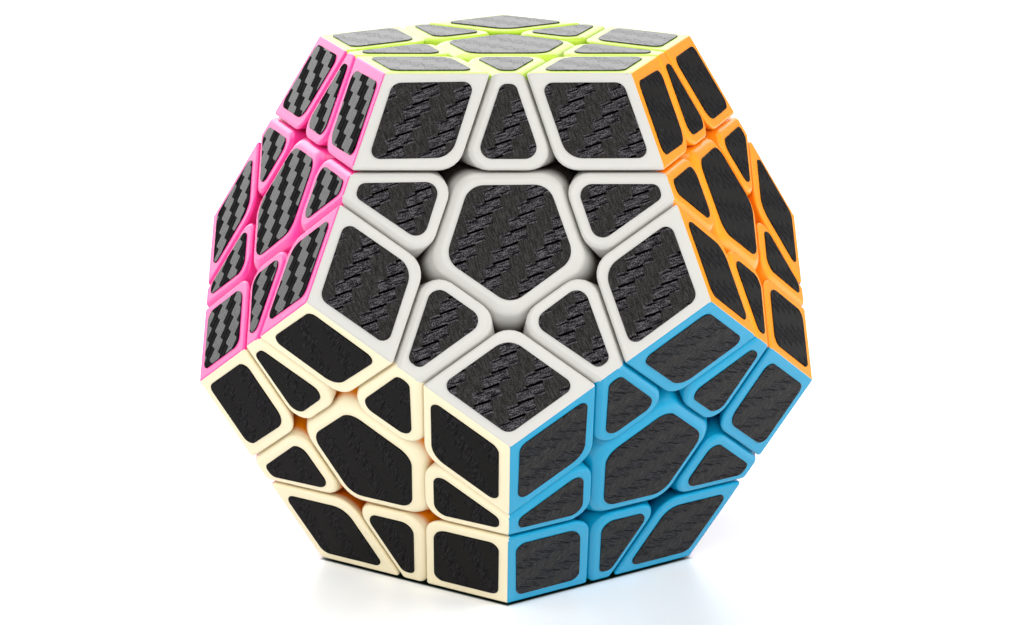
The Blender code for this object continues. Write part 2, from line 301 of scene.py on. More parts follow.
def rounded_loop(paths, corner_radius, sphere=None):
    """Points along a ring of paths, whose corners are rounded, on a sphere if one is given."""
    count = len(paths)
    tiny = 0.01
    turns = []
    for index, path in enumerate(paths):
        following = paths[(index + 1) % count]
        arriving = path.at(1.0) - path.at(1 - tiny)
        leaving = following.at(tiny) - following.at(0.0)
        turns.append(arriving.angle(leaving))
    trims = [corner_radius * math.tan(turn / 2) for turn in turns]
    points = []
    for index, path in enumerate(paths):
        following = paths[(index + 1) % count]
        first = trims[index - 1] / path.length
        last = 1 - trims[index] / path.length
        points += [path.at(first + (last - first) * step / SIDE_STEPS)
                   for step in range(SIDE_STEPS + 1)]
        start, corner = path.at(last), path.at(1.0)
        end = following.at(trims[index] / following.length)
        weight = math.cos(turns[index] / 2)
        for step in range(1, CORNER_STEPS):
            share = step / CORNER_STEPS
            parts = ((1 - share) ** 2, 2 * weight * share * (1 - share), share ** 2)
            point = (start * parts[0] + corner * parts[1] + end * parts[2]) / sum(parts)
            points.append(point.normalized() * sphere if sphere else point)
    return points


class Piece:
    """The shape of one puzzle piece, from the faces it shows."""

    def __init__(self, faces):
        self.faces = tuple(faces)
        self.kind = len(faces)
        self.toward = middle_direction(faces)
        around = self.toward.orthogonal().normalized()
        beside = self.toward.cross(around)
        ends = [name for name in NORMALS if name not in faces
                and all(adjacent(name, face) for face in faces)]
        sides = [(name, True) for name in faces] + [(name, False) for name in ends]
        if self.kind == 1:
            sides = sides[1:]

        def heading(side):
            out = NORMALS[side[0]] * (-1 if side[1] else 1)
            return math.atan2(out.dot(beside), out.dot(around))

        self.sides = sorted(sides, key=heading)

    def flat_cut(self, side):
        name, inside = side
        return NORMALS[name], CUT_DISTANCE + (SIDE_GAP / 2 if inside else -SIDE_GAP / 2)

    def cone(self, side, radius, inner_angle, outer_angle, inset):
        name, inside = side
        angle = inner_angle if inside else outer_angle
        shift = (SIDE_GAP / 2 + inset) / radius
        return NORMALS[name], angle - shift if inside else angle + shift

    def corner_face(self, index):
        """The shown face that carries the outline's corner after a side."""
        near = {self.sides[index][0], self.sides[(index + 1) % len(self.sides)][0]}
        return next(name for name in self.faces if name not in near)

    def outline(self):
        """The rounded edge of the piece on its shown faces, and the face under each length."""
        paths, faces = [], []
        for index, side in enumerate(self.sides):
            before, after = self.corner_face(index - 1), self.corner_face(index)
            cut = self.flat_cut(side)
            start = meeting_point((self.flat_cut(self.sides[index - 1]), cut,
                                   (NORMALS[before], FACELET)))
            following = self.flat_cut(self.sides[(index + 1) % len(self.sides)])
            end = meeting_point((cut, following, (NORMALS[after], FACELET)))
            bend = (start + end) / 2
            if before != after:
                bend = meeting_point((cut, (NORMALS[before], FACELET), (NORMALS[after], FACELET)))
            paths.append(Bent(start, bend, end))
            half = SIDE_STEPS // 2
            faces += [before] * half + [after] * (half + CORNER_STEPS)
        return rounded_loop(paths, RIM_ROUNDING[self.kind]), faces

    def ring(self, radius, cones, corner_radius):
        paths = []
        for index, (normal, angle) in enumerate(cones):
            start = crossing(cones[index - 1], (normal, angle), self.toward)
            end = crossing((normal, angle), cones[(index + 1) % len(cones)], self.toward)
            paths.append(Arc(start * radius, end * radius, normal))
        return rounded_loop(paths, corner_radius, radius)

    def section(self, radius, inner_angle, outer_angle, corner_radius, inset=0.0):
        """The piece's edge on a sphere: arcs about each side's axis."""
        cones = [self.cone(side, radius, inner_angle, outer_angle, inset) for side in self.sides]
        return self.ring(radius, cones, corner_radius)

    def first_section(self):
        """The section where the flat cuts end."""
        flats = [self.flat_cut(side) for side in self.sides]
        cones = [(normal, math.acos(distance / SIDE_START)) for normal, distance in flats]
        return self.ring(SIDE_START, cones, STALK_ROUNDING[self.kind])

    def facelet(self, face):
        """Corners of the facelet on a face, and the kind of edge that follows each corner."""
        planes = [(self.flat_cut(side), "cut") for side in self.sides if side[0] != face]
        planes += [((NORMALS[name], FACELET), "ridge") for name in self.faces if name != face]
        normal = NORMALS[face]
        around = normal.orthogonal().normalized()
        beside = normal.cross(around)
        inside = self.spot(face)

        def heading(plane):
            (out, distance), _ = plane
            lean = out - normal * normal.dot(out)
            if out.dot(inside) > distance:
                lean.negate()
            return math.atan2(lean.dot(beside), lean.dot(around))

        planes.sort(key=heading)
        corners = [meeting_point((planes[index - 1][0], plane[0], (normal, FACELET)))
                   for index, plane in enumerate(planes)]
        return corners, [kind for _, kind in planes]

    def spot(self, face):
        """A point of the facelet, well away from its edges."""
        if self.kind == 1:
            return NORMALS[face] * FACELET
        points, faces = self.outline()
        shown = [point for point, name in zip(points, faces) if name == face]
        tip = self.toward * (FACELET / self.toward.dot(NORMALS[face]))
        mean = sum(shown, Vector()) / len(shown)
        return (mean + tip) / 2


# ---------------------------------------------------------------- meshes

def add_band(shape, upper, lower, index_of=None):
    """Quads from one loop of vertices down to the next."""
    count = len(upper)
    for index in range(count):
        following = (index + 1) % count
        face = shape.faces.new((upper[index], lower[index], lower[following], upper[following]))
        face.material_index = index_of[index] if index_of else 0


def add_fan(shape, loop, tip):
    point = shape.verts.new(tip)
    for index, vertex in enumerate(loop):
        shape.faces.new((vertex, loop[(index + 1) % len(loop)], point))


def add_shown_faces(shape, piece, loop, faces):
    """Close the outline with one flat face for each colour."""
    if piece.kind == 1:
        face = shape.faces.new(loop)
        face.material_index = 1
        return [face]
    count = len(loop)
    bends = [index for index in range(count) if faces[index - 1] != faces[index]]
    apex = []
    if piece.kind == 3:
        apex = [shape.verts.new(meeting_point([(NORMALS[name], FACELET) for name in piece.faces]))]
    made = []
    for start, end in zip(bends, bends[1:] + [bends[0] + count]):
        run = [loop[index % count] for index in range(start, end + 1)]
        face = shape.faces.new(run + apex)
        face.material_index = 1 + piece.faces.index(faces[start])
        made.append(face)
    return made


def circle(axis, radius, height, like):
    """A ring of points about an axis, one for each point of another loop, at its heading."""
    points = []
    for point in like:
        out = point - axis * axis.dot(point)
        points.append(axis * height + out.normalized() * radius)
    return points


def lower_sections(piece):
    """The sections below the rim."""
    stalk = STALK_ROUNDING[piece.kind]
    first = piece.first_section()
    if piece.kind == 3:
        return [first,
                piece.section(LEDGE_LOWER, STALK_ANGLE, STALK_ANGLE, stalk),
                piece.section(LEDGE_LOWER, FOOT_ANGLE, FOOT_ANGLE, FOOT_ROUNDING),
                piece.section(FOOT_BOTTOM, FOOT_ANGLE, FOOT_ANGLE, FOOT_ROUNDING)]
    if piece.kind == 2:
        return [first,
                piece.section(LEDGE_UPPER, STALK_ANGLE, STALK_ANGLE, stalk),
                piece.section(LEDGE_UPPER, STALK_ANGLE, FOOT_ANGLE, FOOT_ROUNDING, NECK_INSET),
                piece.section(LEDGE_LOWER, STALK_ANGLE, FOOT_ANGLE, FOOT_ROUNDING, NECK_INSET),
                piece.section(LEDGE_LOWER, FOOT_ANGLE, FOOT_ANGLE, FOOT_ROUNDING),
                piece.section(FOOT_BOTTOM, FOOT_ANGLE, FOOT_ANGLE, FOOT_ROUNDING)]
    foot = piece.section(FOOT_BOTTOM, FOOT_ANGLE, FOOT_ANGLE, FOOT_ROUNDING)
    well = [circle(piece.toward, radius, height, foot)
            for radius, height in ((BORE_RADIUS, FOOT_BOTTOM), (BORE_RADIUS, WELL_FLOOR),
                                   (WELL_RADIUS, WELL_FLOOR), (WELL_RADIUS, WELL_TOP))]
    return [first,
            piece.section(LEDGE_UPPER, STALK_ANGLE, STALK_ANGLE, stalk),
            piece.section(LEDGE_UPPER, FOOT_ANGLE, FOOT_ANGLE, FOOT_ROUNDING),
            foot] + well


def body_mesh(piece):
    """The plastic body of a piece: material 0 inside, then one material for each face."""
    shape = bmesh.new()
    points, faces = piece.outline()
    indices = [1 + piece.faces.index(name) for name in faces]
    loops = [[shape.verts.new(point) for point in section]
             for section in [points] + lower_sections(piece)]
    for level, (upper, lower) in enumerate(zip(loops, loops[1:])):
        add_band(shape, upper, lower, indices if level < 2 else None)
    shown = add_shown_faces(shape, piece, loops[0], faces)
    tip = WELL_TOP if piece.kind == 1 else FOOT_BOTTOM
    add_fan(shape, loops[-1][::-1], piece.toward * tip)
    bmesh.ops.recalc_face_normals(shape, faces=shape.faces)
    rim = RIM_FILLET[piece.kind]
    weights = shape.edges.layers.float.new("bevel_weight_edge")
    for edge in {edge for face in shown for edge in face.edges}:
        between = all(face in shown for face in edge.link_faces)
        edge[weights] = RIDGE_FILLET / rim if between else 1.0
    return filleted(shape, rim)


def filleted(shape, width):
    """A mesh whose weighted edges are rounded off."""
    mesh = bpy.data.meshes.new("body")
    shape.to_mesh(mesh)
    shape.free()
    thing = bpy.data.objects.new("body", mesh)
    bpy.context.scene.collection.objects.link(thing)
    fillet = thing.modifiers.new("fillet", "BEVEL")
    fillet.limit_method = "WEIGHT"
    fillet.offset_type = "OFFSET"
    fillet.width = width
    fillet.segments = FILLET_STEPS
    fillet.use_clamp_overlap = True
    bpy.context.view_layer.update()
    whole = thing.evaluated_get(bpy.context.evaluated_depsgraph_get())
    rounded = bpy.data.meshes.new_from_object(whole)
    bpy.data.objects.remove(thing)
    mark_depth(rounded)
    return rounded


def mark_depth(mesh):
    """Store how far each vertex lies below the nearest face of the puzzle, in millimetres."""
    depth = mesh.attributes.new("depth", "FLOAT", "POINT")
    for vertex, slot in zip(mesh.vertices, depth.data):
        reach = max(vertex.co.dot(normal) for normal in NORMALS.values())
        slot.value = (INRADIUS - reach) / MM


def inset_corners(corners, borders):
    """Corners of a flat convex outline, moved in so that each edge stands back by its border."""
    count = len(corners)
    lines = []
    for index, corner in enumerate(corners):
        along = (corners[(index + 1) % count] - corner).normalized()
        inward = Vector((-along.y, along.x))
        lines.append((corner + inward * borders[index], along))
    moved = []
    for index in range(count):
        (point, along), (other, beside) = lines[index - 1], lines[index]
        gap = other - point
        share = (gap.x * beside.y - gap.y * beside.x) / (along.x * beside.y - along.y * beside.x)
        moved.append(point + along * share)
    return moved


def round_corners(corners, radii):
    """A flat convex outline with an arc at each corner."""
    points = []
    count = len(corners)
    for index, corner in enumerate(corners):
        before = (corners[index - 1] - corner).normalized()
        after = (corners[(index + 1) % count] - corner).normalized()
        half = before.angle(after) / 2
        hub = corner + (before + after).normalized() * radii[index] / math.sin(half)
        start = corner + before * radii[index] / math.tan(half) - hub
        sweep = math.pi - 2 * half
        for step in range(ROUND_STEPS + 1):
            points.append(hub + Matrix.Rotation(sweep * step / ROUND_STEPS, 2) @ start)
    return points


def face_basis(face, turn=0.0):
    """Directions across and up a face, seen from outside, turned anticlockwise."""
    normal = NORMALS[face]
    up = NORMALS[WEAVE[face][0]]
    up = (up - normal * normal.dot(up)).normalized()
    across = up.cross(normal)
    spin = Matrix.Rotation(turn, 3, normal)
    return spin @ across, spin @ up


def sticker_outline(piece, face, across, up, draw):
    """The rounded edge of the sticker on a facelet, in the plane of its face, and its middle."""
    corners, kinds = piece.facelet(face)
    flat = [Vector((corner.dot(across), corner.dot(up))) for corner in corners]
    area = sum(a.x * b.y - b.x * a.y for a, b in zip(flat, flat[1:] + flat[:1]))
    if area < 0:
        flat = flat[::-1]
        kinds = (kinds[::-1])[1:] + kinds[-1:]
    borders = [CUT_BORDER[piece.kind] if kind == "cut" else RIDGE_BORDER[piece.kind]
               for kind in kinds]
    if piece.kind == 2:
        borders[kinds.index("ridge") - 2] = INNER_BORDER
    radii = [STICKER_RADII[(piece.kind,) + tuple(sorted((kinds[index - 1], kind)))]
             for index, kind in enumerate(kinds)]
    inset = inset_corners(flat, borders)
    middle = sum(inset, Vector((0, 0))) / len(inset)
    shift = Vector((draw.uniform(-1, 1), draw.uniform(-1, 1))) * STICKER_SHIFT
    spin = Matrix.Rotation(draw.uniform(-1, 1) * STICKER_TURN, 2)
    return [middle + shift + spin @ (point - middle)
            for point in round_corners(inset, radii)], middle


def add_sticker(shape, layer, piece, face):
    """One sticker, on the facelet of a piece, with its weave in millimetres as its UVs."""
    draw = random.Random("_".join(piece.faces) + face)
    across, up = face_basis(face)
    outline, middle = sticker_outline(piece, face, across, up, draw)
    slim = [point + (middle - point).normalized() * STICKER_EDGE for point in outline]
    normal = NORMALS[face]

    def ring(points, height):
        return [shape.verts.new(across * point.x + up * point.y + normal * height)
                for point in points]

    loops = [ring(outline, FACELET - STICKER_SINK), ring(outline, INRADIUS - STICKER_EDGE),
             ring(slim, INRADIUS)]
    for lower, upper in zip(loops, loops[1:]):
        add_band(shape, lower, upper)
    shape.faces.new(loops[-1])
    shape.faces.new(loops[0][::-1])
    for made in {made for loop in loops for vertex in loop for made in vertex.link_faces}:
        made.material_index = list(FILMS).index(FILM_OF[face])
    fibre, beside = face_basis(face, math.radians(WEAVE[face][1]))
    start = Vector((draw.uniform(0, 4) * COLUMN_PITCH, draw.uniform(0, 4) * ROW_PITCH))
    for vertex in (vertex for loop in loops for vertex in loop):
        for corner in vertex.link_loops:
            corner[layer].uv = (vertex.co.dot(fibre) / MM + start.x,
                                vertex.co.dot(beside) / MM + start.y)


def sticker_mesh(piece):
    shape = bmesh.new()
    layer = shape.loops.layers.uv.new("weave")
    for face in piece.faces:
        add_sticker(shape, layer, piece, face)
    bmesh.ops.recalc_face_normals(shape, faces=shape.faces)
    mesh = bpy.data.meshes.new("sticker")
    shape.to_mesh(mesh)
    shape.free()
    return mesh


# ---------------------------------------------------------------- materials

def linear(shade):
    """A colour for the shader from display values of 0 to 255."""
    values = []
    for value in shade:
        part = value / 255
        values.append(part / 12.92 if part <= 0.04045 else ((part + 0.055) / 1.055) ** 2.4)
    return (*values, 1.0)


def dimmed(colour, share):
    return tuple(part * share for part in colour[:3]) + (1.0,)


class Field:
    """A number at each point of a surface, worked out by a chain of shader nodes."""

    def __init__(self, tree, socket):
        self.tree = tree
        self.socket = socket

    def math(self, operation, *others):
        node = self.tree.nodes.new("ShaderNodeMath")
        node.operation = operation
        for slot, value in zip(node.inputs, (self,) + others):
            if isinstance(value, Field):
                self.tree.links.new(value.socket, slot)
            else:
                slot.default_value = value
        return Field(self.tree, node.outputs[0])

    def __add__(self, other):
        return self.math("ADD", other)

    def __sub__(self, other):
        return self.math("SUBTRACT", other)

    def __mul__(self, other):
        return self.math("MULTIPLY", other)

    def floor(self):
        return self.math("FLOOR")

    def wrapped(self, period):
        return self.math("FLOORED_MODULO", period)

    def flipped(self):
        """One less this, for a value from 0 to 1."""
        return (self * -1.0) + 1.0

    def below(self, limit):
        return self.math("LESS_THAN", limit)

    def ramp(self, low, high):
        """0 at low and 1 at high, eased between."""
        node = self.tree.nodes.new("ShaderNodeMapRange")
        node.interpolation_type = "SMOOTHSTEP"
        self.tree.links.new(self.socket, node.inputs["Value"])
        node.inputs["From Min"].default_value = low
        node.inputs["From Max"].default_value = high
        return Field(self.tree, node.outputs["Result"])

    def crown(self, power):
        """1 in the middle of 0 to 1 and falling to 0 at both ends."""
        spread = (self * 2.0 - 1.0).math("ABSOLUTE").math("POWER", power)
        return spread.flipped()


def choose(tree, factor, first, second):
    """A colour between two, by a field from 0 to 1. Each colour is a value or a socket."""
    node = tree.nodes.new("ShaderNodeMix")
    node.data_type = "RGBA"
    slots = [slot for slot in node.inputs if slot.type == "RGBA"]
    tree.links.new(factor.socket, node.inputs[0])
    for slot, value in zip(slots, (first, second)):
        if isinstance(value, bpy.types.NodeSocket):
            tree.links.new(value, slot)
        else:
            slot.default_value = value
    return next(slot for slot in node.outputs if slot.type == "RGBA")


def noise(tree, vector, scale, detail=2.0, roughness=0.5):
    node = tree.nodes.new("ShaderNodeTexNoise")
    tree.links.new(vector, node.inputs["Vector"])
    node.inputs["Scale"].default_value = scale
    node.inputs["Detail"].default_value = detail
    node.inputs["Roughness"].default_value = roughness
    return Field(tree, node.outputs["Fac"])


def combine(tree, first, second):
    """A vector socket from two fields."""
    node = tree.nodes.new("ShaderNodeCombineXYZ")
    tree.links.new(first.socket, node.inputs[0])
    tree.links.new(second.socket, node.inputs[1])
    return node.outputs[0]


def dot_product(tree, vector, direction):
    """How far a vector socket reaches along a direction."""
    node = tree.nodes.new("ShaderNodeVectorMath")
    node.operation = "DOT_PRODUCT"
    tree.links.new(vector, node.inputs[0])
    node.inputs[1].default_value = Vector(direction).normalized()
    return Field(tree, node.outputs["Value"])


def new_material(name):
    material = bpy.data.materials.new(name)
    material.use_nodes = True
    tree = material.node_tree
    return material, tree, tree.nodes["Principled BSDF"]


def add_bump(tree, shader, height, distance, strength):
    bump = tree.nodes.new("ShaderNodeBump")
    bump.inputs["Distance"].default_value = distance
    bump.inputs["Strength"].default_value = strength
    tree.links.new(height.socket, bump.inputs["Height"])
    tree.links.new(bump.outputs["Normal"], shader.inputs["Normal"])


def place_in(tree):
    """Object coordinates, measured from the middle of the puzzle."""
    return tree.nodes.new("ShaderNodeTexCoord").outputs["Object"]


def gloss_plastic(name, face_shade, painted_gap_shade):
    """Moulded glossy plastic: faint mottling, a soft orange-peel surface, and painted shade deep
    in the gaps between pieces.
    """
    material, tree, shader = new_material(name + "_plastic")
    spot = place_in(tree)
    # painted shade: below the face the colour turns to the painted gap shade, standing in for
    # shade and light bounced between pieces
    source = tree.nodes.new("ShaderNodeAttribute")
    source.attribute_name = "depth"
    reach = GAP_SHADE_REACH.get(name, 1.0)
    depth = Field(tree, source.outputs["Fac"]).ramp(GAP_SHADE_TOP * reach, GAP_SHADE_FULL * reach)
    mottle = noise(tree, spot, 90.0, 2.0).ramp(0.3, 0.7)
    bright = linear(face_shade)
    shown = choose(tree, mottle, dimmed(bright, 0.975), bright)
    tree.links.new(choose(tree, depth, shown, linear(painted_gap_shade)), shader.inputs["Base Color"])
    shader.inputs["Roughness"].default_value = 0.26
    shader.inputs["Specular IOR Level"].default_value = 0.45
    shader.inputs["Coat Weight"].default_value = 0.1
    shader.inputs["Coat Roughness"].default_value = 0.12
    peel = noise(tree, spot, 420.0, 2.0)
    add_bump(tree, shader, peel, 0.000004, 0.3)
    return material


def matt_plastic(name, shade):
    """The dark plastic of the feet and the core."""
    material, tree, shader = new_material(name)
    spot = place_in(tree)
    grain = noise(tree, spot, 600.0, 4.0)
    bright = linear(shade)
    tree.links.new(choose(tree, grain, dimmed(bright, 0.6), bright), shader.inputs["Base Color"])
    tree.links.new((grain * 0.25 + 0.4).socket, shader.inputs["Roughness"])
    add_bump(tree, shader, grain, 0.00003, 0.5)
    return material


def steel(name):
    """Finely ground steel of the screws, springs and washers."""
    material, tree, shader = new_material(name)
    spot = place_in(tree)
    grain = noise(tree, spot, 1500.0, 3.0)
    tree.links.new(choose(tree, grain, linear((150, 150, 152)), linear((205, 205, 208))),
                   shader.inputs["Base Color"])
    tree.links.new((grain * 0.2 + 0.2).socket, shader.inputs["Roughness"])
    shader.inputs["Metallic"].default_value = 1.0
    add_bump(tree, shader, grain, 0.00001, 0.4)
    return material


def weave_groove(place, rise, over):
    """The short grooves between two rows that both lie on top, and their finer tails."""
    near_top = rise.ramp(0.87, 0.89) * place.ramp(0.8, 0.86) * place.ramp(2.16, 2.1)
    near_foot = rise.ramp(0.07, 0.05) * (place.ramp(1.16, 1.1) + place.ramp(3.8, 3.86))
    tail = over * rise.ramp(0.71, 0.73) * rise.ramp(0.85, 0.83) * place.ramp(0.98, 0.9)
    tail = tail * place.ramp(-0.1, 0.4)
    end_tail = over * rise.ramp(0.26, 0.24) * rise.ramp(0.13, 0.15) * place.ramp(1.15, 1.25)
    last_tail = over * rise.ramp(0.38, 0.36) * rise.ramp(0.29, 0.31) * place.ramp(1.3, 1.4)
    groove = near_top + near_foot + tail * 0.95 + end_tail * 0.9 + last_tail * 0.6
    return groove.math("MINIMUM", 1.0)


def carbon_vinyl(name, film):
    """Embossed film with a two-by-two twill: tows that pass over two, each row one further on."""
    material, tree, shader = new_material(name)
    source = tree.nodes.new("ShaderNodeUVMap")
    source.uv_map = "weave"
    parts = tree.nodes.new("ShaderNodeSeparateXYZ")
    tree.links.new(source.outputs[0], parts.inputs[0])
    along = Field(tree, parts.outputs[0]) * (1 / COLUMN_PITCH)
    aside = Field(tree, parts.outputs[1]) * (1 / ROW_PITCH)

    wobble = noise(tree, source.outputs[0], 0.9, 2.0)
    aside = aside + (wobble - 0.5) * 0.06
    row, column = aside.floor(), along.floor()
    place = (along - row).wrapped(4.0)          # along a float of the rows, 0 to 2
    over = place.below(2.0)                     # 1 where a row lies on top
    rise = aside - row                          # across a row, 0 to 1
    drop = (aside - column + 3.0).wrapped(4.0)  # along a float of the columns, 0 to 2
    reach = along - column                      # across a column, 0 to 1

    streak = noise(tree, combine(tree, along * 1.6, aside * 6.5), 1.0, 2.0, 0.55)
    ripple = noise(tree, combine(tree, along * 9.0, aside * 1.3), 1.0, 2.0, 0.55)
    grit = noise(tree, source.outputs[0], 6.0, 3.0, 0.6)

    groove = weave_groove(place, rise, over)
    # painted shade: the grooves are painted black and lose their shine, like shade in creases
    black = groove * film.blackness

    row_height = rise.crown(4.0) * (place * 0.5).crown(10.0)
    column_height = reach.crown(3.0) * (drop * 0.5).crown(5.0)
    weft = row_height * 0.2 + streak * 1.5 + grit * 0.8
    warp = column_height * 0.1 + ripple * 0.5 + grit * 0.4
    height = over * weft + over.flipped() * warp - groove * 0.8

    # painted sheen: the lighter rows and the light streaks of rows and columns stand in for light
    # caught by the embossed tows
    fibre = (streak * 0.38 + grit * 0.62).ramp(0.45, 0.6)
    cross_fibre = (ripple * 0.45 + grit * 0.55).ramp(0.42, 0.62)
    row_shade = choose(tree, fibre, linear((7, 6, 8)),
                       linear((film.row_light, film.row_light * 0.96, film.row_light)))
    column_shade = choose(tree, cross_fibre, linear((11, 9, 8)),
                          linear([film.column_light * part for part in (1.0, 0.95, 0.92)]))
    cloth = choose(tree, over, column_shade, row_shade)
    tree.links.new(choose(tree, black, cloth, linear((1, 1, 1))), shader.inputs["Base Color"])
    rough = over * (film.row_rough - film.column_rough) + film.column_rough
    tree.links.new(rough.socket, shader.inputs["Roughness"])
    dim = over * (film.column_rough - film.row_rough) * 0.8 + 1.0
    ribbed = over * (streak.ramp(0.36, 0.6) - 1.0) * film.ribs + 1.0
    gloss = black.flipped() * dim * ribbed * film.shine
    tree.links.new(gloss.socket, shader.inputs["Specular IOR Level"])
    add_bump(tree, shader, height, 0.00005 * film.relief, 0.6)
    return material


# ---------------------------------------------------------------- building

def finish_object(name, mesh, materials, body):
    mesh.name = name
    for material in materials:
        mesh.materials.append(material)
    mesh.shade_smooth()
    mesh.set_sharp_from_angle(angle=SMOOTH_ANGLE)
    thing = bpy.data.objects.new(name, mesh)
    bpy.context.scene.collection.objects.link(thing)
    thing.location = MIDDLE
    even = thing.modifiers.new("even", "WEIGHTED_NORMAL")
    even.keep_sharp = True
    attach(thing, body)
    return thing


def turned_to(piece, pattern):
    """The rotation that lays the pattern piece on another of its kind, and their faces in step."""
    def axes(shape, lead):
        across = lead - shape.toward * lead.dot(shape.toward)
        if across.length < 1e-6:
            across = NORMALS[shape.sides[0][0]]
            across = across - shape.toward * across.dot(shape.toward)
        across.normalize()
        return Matrix((shape.toward, across, shape.toward.cross(across))).transposed()

    start = axes(pattern, NORMALS[pattern.faces[0]])
    end = axes(piece, NORMALS[piece.faces[0]])
    turn = end @ start.transposed()
    shown = [max(piece.faces, key=lambda name: NORMALS[name].dot(turn @ NORMALS[old]))
             for old in pattern.faces]
    return turn, shown


def all_pieces():
    pieces = [Piece((name,)) for name in NORMALS]
    pieces += [Piece(pair) for pair in combinations(NORMALS, 2) if adjacent(*pair)]
    pieces += [Piece(trio) for trio in combinations(NORMALS, 3)
               if all(adjacent(*pair) for pair in combinations(trio, 2))]
    return pieces


KIND_NAMES = {1: "centre", 2: "edge", 3: "corner"}


def node_of(piece):
    """The CAD node that holds a piece: its own, or the one that it is joined into."""
    own = "_".join((KIND_NAMES[piece.kind],) + piece.faces)
    if own in frame["nodes"]:
        return own
    for name in frame["nodes"]:
        if name.startswith("centre_and_edge_"):
            first, second = name.split("_")[-2:]
            if set(piece.faces) in ({first}, {first, second}):
                return name
    return "core"


def wrap_base(mesh, shown):
    """The plastic of the lowest face runs on round the rim of that face."""
    if "green" not in shown:
        return
    for face in mesh.polygons:
        if face.normal.z < -0.5 and face.center.z < RIDGE_FILLET - INRADIUS:
            face.material_index = 1 + list(shown).index("green")


def build_pieces():
    inner = matt_plastic("inner_plastic", (46, 46, 50))
    films = [carbon_vinyl(name, film) for name, film in FILMS.items()]
    shells = {name: gloss_plastic(name, *shades) for name, shades in PLASTICS.items()}
    patterns = {}
    for piece in all_pieces():
        if piece.kind not in patterns:
            patterns[piece.kind] = (piece, body_mesh(piece))
        pattern, mesh = patterns[piece.kind]
        turn, shown = turned_to(piece, pattern)
        body_shape = mesh.copy()
        body_shape.transform(turn.to_4x4())
        wrap_base(body_shape, shown)
        node = node_of(piece)
        body = frame["nodes"][node]["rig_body"]
        label = "_".join((KIND_NAMES[piece.kind],) + piece.faces)
        shell = finish_object(label + "_shell", body_shape,
                              [inner] + [shells[name] for name in shown], body)
        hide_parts(node)
        finish_object(label + "_stickers", sticker_mesh(piece), films, body)
    return inner


def turned_rings(shape, axis, profile, crossed=None):
    """Rings of vertices about an axis, from (radius, height) pairs, closed at both ends.

    Rings of the radius given as crossed have the outline of a cross recess.
    """
    around = axis.orthogonal().normalized()
    loops = []
    for radius, height in profile:
        ring = []
        for step in range(TURNED_STEPS):
            angle = 2 * math.pi * step / TURNED_STEPS
            out = Matrix.Rotation(angle, 3, axis) @ around
            spread = radius
            if radius == crossed:
                spread = radius * (0.32 + 0.68 * abs(math.cos(2 * angle)) ** 3)
            ring.append(shape.verts.new(axis * height + out * spread))
        loops.append(ring)
    for lower, upper in zip(loops, loops[1:]):
        add_band(shape, lower, upper)
    shape.faces.new(loops[0][::-1])
    shape.faces.new(loops[-1])


def core_mesh():
    """The ball in the middle, with a post towards each face."""
    shape = bmesh.new()
    bmesh.ops.create_icosphere(shape, subdivisions=4, radius=BALL_RADIUS)
    for normal in NORMALS.values():
        turned_rings(shape, normal, [
            (POST_RADIUS * 1.25, POST_FOOT), (POST_RADIUS * 1.05, POST_FOOT + 1.2 * MM),
            (POST_RADIUS, POST_FOOT + 2 * MM), (POST_RADIUS, POST_TOP - 0.4 * MM),
            (POST_RADIUS - 0.4 * MM, POST_TOP)])
    return shape


def screws_mesh():
    """Pan-head screws with a cross recess."""
    shape = bmesh.new()
    thread = []
    height = POST_TOP - 0.2 * MM
    while height < HEAD_BASE - THREAD_PITCH:
        thread += [(SHANK_RADIUS, height), (SHANK_RADIUS * 0.86, height + THREAD_PITCH / 2)]
        height += THREAD_PITCH
    for normal in NORMALS.values():
        turned_rings(shape, normal, thread + [
            (SHANK_RADIUS, HEAD_BASE), (HEAD_RADIUS * 0.97, HEAD_BASE),
            (HEAD_RADIUS, HEAD_BASE + 0.5 * MM), (HEAD_RADIUS * 0.93, HEAD_TOP - 0.5 * MM),
            (HEAD_RADIUS * 0.7, HEAD_TOP - 0.1 * MM), (RECESS_RADIUS * 1.02, HEAD_TOP),
            (RECESS_RADIUS, HEAD_TOP - 0.02 * MM),
            (RECESS_RADIUS, HEAD_TOP - RECESS_DEPTH)], RECESS_RADIUS)
    return shape


def springs_mesh():
    """A coil spring about each screw, between the floor of the well and the washer."""
    shape = bmesh.new()
    low = WELL_FLOOR + SPRING_WIRE
    high = HEAD_BASE - WASHER_THICKNESS - SPRING_WIRE - 0.1 * MM
    steps, sides = int(SPRING_TURNS * 24), 8
    for normal in NORMALS.values():
        around = normal.orthogonal().normalized()
        loops = []
        for step in range(steps + 1):
            share = step / steps
            out = Matrix.Rotation(2 * math.pi * SPRING_TURNS * share, 3, normal) @ around
            hub = normal * (low + (high - low) * share) + out * SPRING_RADIUS
            loops.append([shape.verts.new(
                hub + (out * math.cos(turn) + normal * math.sin(turn)) * SPRING_WIRE)
                for turn in (2 * math.pi * side / sides for side in range(sides))])
        for lower, upper in zip(loops, loops[1:]):
            add_band(shape, lower, upper)
        shape.faces.new(loops[0][::-1])
        shape.faces.new(loops[-1])
    return shape


def washers_mesh():
    shape = bmesh.new()
    base = HEAD_BASE - WASHER_THICKNESS - 0.02 * MM
    for normal in NORMALS.values():
        turned_rings(shape, normal, [(WASHER_RADIUS, base),
                                     (WASHER_RADIUS, base + WASHER_THICKNESS)])
    return shape


def build_core(inner):
    metal = steel("steel")
    for name, shape, material, slot in (
            ("core_ball", core_mesh(), inner, "inner_plastic"),
            ("core_screws", screws_mesh(), metal, "steel"),
            ("core_springs", springs_mesh(), metal, "steel"),
            ("core_washers", washers_mesh(), metal, "steel")):
        bmesh.ops.recalc_face_normals(shape, faces=shape.faces)
        mesh = bpy.data.meshes.new(name)
        shape.to_mesh(mesh)
        shape.free()
        thing = finish_object(name, mesh, [material], frame["nodes"]["core"]["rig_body"])
        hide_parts("core")


# ---------------------------------------------------------------- stage

